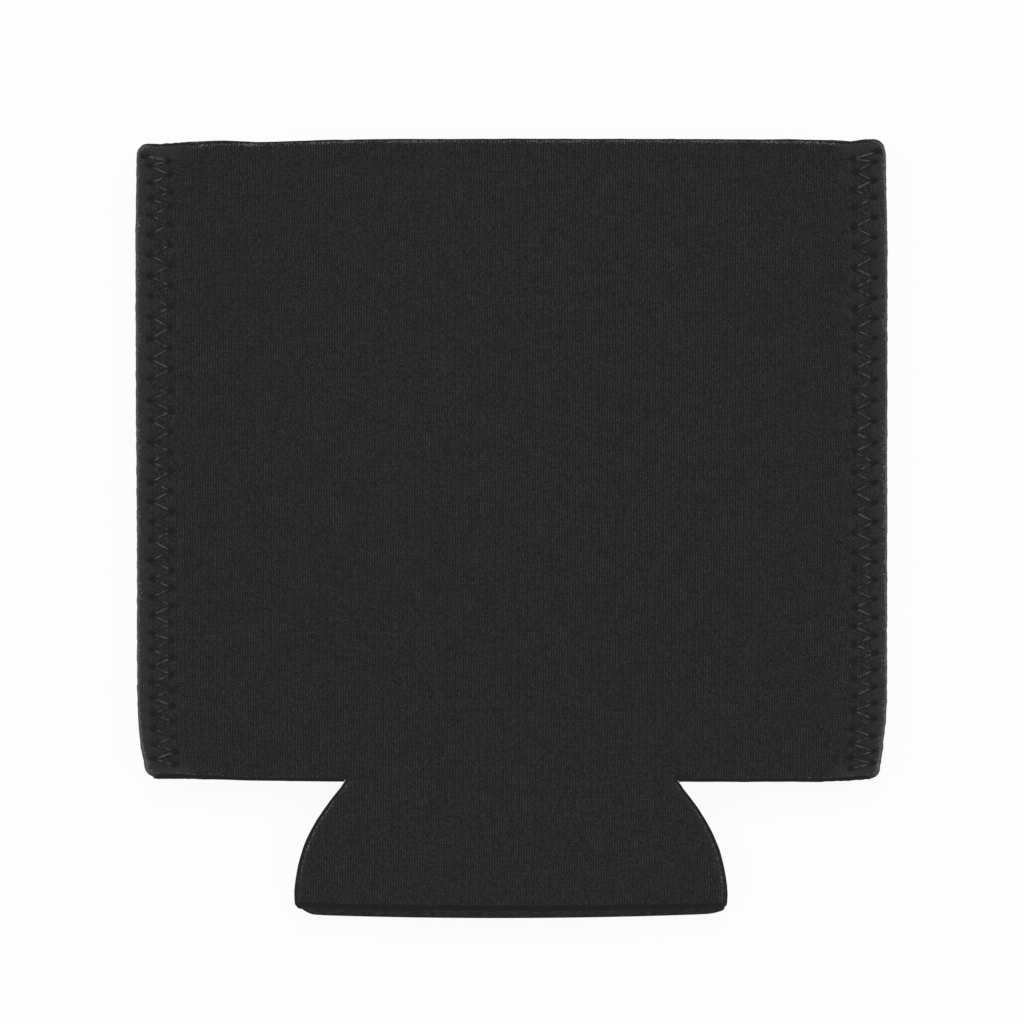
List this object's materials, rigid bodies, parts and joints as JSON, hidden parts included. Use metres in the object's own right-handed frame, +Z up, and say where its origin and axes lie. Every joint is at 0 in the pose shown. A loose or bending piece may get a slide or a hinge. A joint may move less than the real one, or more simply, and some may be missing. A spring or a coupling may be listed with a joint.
{
  "type": "can cooler sleeve",
  "caption": "Flat-folding foam can cooler sleeve: two panels sewn up both sides with zigzag seams, open at the top, with a strap below that opens into a round base.",
  "frame": {"origin": "middle of the footprint, on the surface that the sleeve lies on", "axes": "+X to the sleeve's right as it lies, +Y from the folded base to the open mouth, +Z up out of the surface"},
  "size_m": [0.1102, 0.1142, 0.0108],
  "materials": {
    "knit_foam": "matt black fine-rib knit on foam",
    "seam_thread": "black polyester sewing thread"
  },
  "bodies": {
    "root": {"sleeve_body": "knit_foam", "left_seam_needle_thread": "seam_thread", "right_seam_needle_thread": "seam_thread", "left_seam_bobbin_thread": "seam_thread", "right_seam_bobbin_thread": "seam_thread"}
  },
  "joints": []
}
